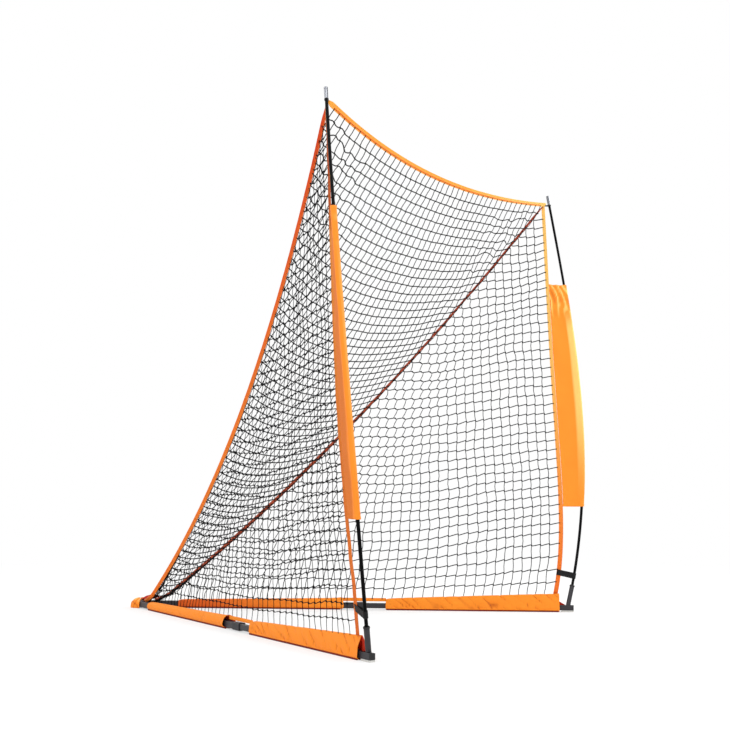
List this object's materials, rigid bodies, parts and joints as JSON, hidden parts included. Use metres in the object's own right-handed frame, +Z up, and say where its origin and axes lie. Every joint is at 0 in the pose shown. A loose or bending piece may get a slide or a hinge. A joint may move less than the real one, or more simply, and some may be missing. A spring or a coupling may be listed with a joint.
{
  "type": "folding rebound goal net",
  "caption": "Portable V-shaped rebound goal: folding square base arms, bent poles leaning out of sockets, and a three-panel net that catches a thrown ball.",
  "frame": {"origin": "centre of the underside, on the ground, midway between the foremost and rearmost pieces", "axes": "+X along the mouth towards the right pole, +Y from the mouth back to the apex, +Z up"},
  "size_m": [2.0202, 1.8207, 1.9002],
  "materials": {
    "hardware": "satin zinc plate",
    "tube": "satin charcoal powder coat",
    "collar": "moulded, satin",
    "bush": "plain",
    "cap": "satin",
    "pad": "plain",
    "pole": "black fibreglass with a light gloss",
    "ferrule": "dull",
    "tip": "bright",
    "cord": "knotted cord",
    "cloth": "woven orange sleeve cloth",
    "webbing": "woven tape",
    "seam": "woven tape",
    "strap": "woven webbing",
    "gusset": "woven cloth"
  },
  "bodies": {
    "apex": {"apex_plate_lower": "hardware", "apex_plate_upper": "hardware", "apex_bolts": "hardware", "apex_nuts": "hardware", "apex_pocket": "cloth", "back_net": "cord", "top_tape": "webbing"},
    "left_arm": {"left_rear_tube": "tube", "left_hinge_bush": "bush", "left_front_tube": "tube", "left_coupling_collar": "collar", "left_button_spring": "hardware", "left_end_cap": "cap", "left_foot_pad": "pad", "left_pole_socket": "tube", "left_socket_bushing": "cap", "left_lower_pole": "pole", "left_upper_pole": "pole", "left_pole_ferrule": "ferrule", "left_pole_tip": "tip", "left_side_net": "cord", "left_front_tape": "webbing", "left_seam_tape": "seam", "left_hem_strip": "cloth", "left_rear_sleeve": "cloth", "left_front_sleeve": "cloth", "left_pole_sleeve": "cloth", "left_corner_loop": "webbing", "left_pole_strap": "strap", "left_foot_gusset": "gusset"},
    "left_button": {"left_snap_button": "hardware"},
    "right_arm": {"right_rear_tube": "tube", "right_hinge_bush": "bush", "right_front_tube": "tube", "right_coupling_collar": "collar", "right_button_spring": "hardware", "right_end_cap": "cap", "right_foot_pad": "pad", "right_pole_socket": "tube", "right_socket_bushing": "cap", "right_lower_pole": "pole", "right_upper_pole": "pole", "right_pole_ferrule": "ferrule", "right_pole_tip": "tip", "right_side_net": "cord", "right_front_tape": "webbing", "right_seam_tape": "seam", "right_hem_strip": "cloth", "right_rear_sleeve": "cloth", "right_front_sleeve": "cloth", "right_pole_sleeve": "cloth", "right_corner_loop": "webbing", "right_pole_strap": "strap", "right_foot_gusset": "gusset"},
    "right_button": {"right_snap_button": "hardware"}
  },
  "joints": [
    {"name": "left_arm_fold", "type": "hinge", "parent": "apex", "child": "left_arm", "pos_m": [-0.016, 0.85079, 0.018], "axis": [0, 0, 1], "range_deg": [0, 21], "deforming": ["back_net", "top_tape"]},
    {"name": "right_arm_fold", "type": "hinge", "parent": "apex", "child": "right_arm", "pos_m": [0.016, 0.85079, 0.018], "axis": [0, 0, -1], "range_deg": [0, 21], "deforming": ["back_net", "top_tape"]},
    {"name": "left_button_press", "type": "slide", "parent": "left_arm", "child": "left_button", "axis": [0, 0, -1], "range_m": [0, 0.0025], "stiffness_N_per_m": 300, "deforming": ["left_button_spring"]},
    {"name": "right_button_press", "type": "slide", "parent": "right_arm", "child": "right_button", "axis": [0, 0, -1], "range_m": [0, 0.0025], "stiffness_N_per_m": 300, "deforming": ["right_button_spring"]}
  ]
}
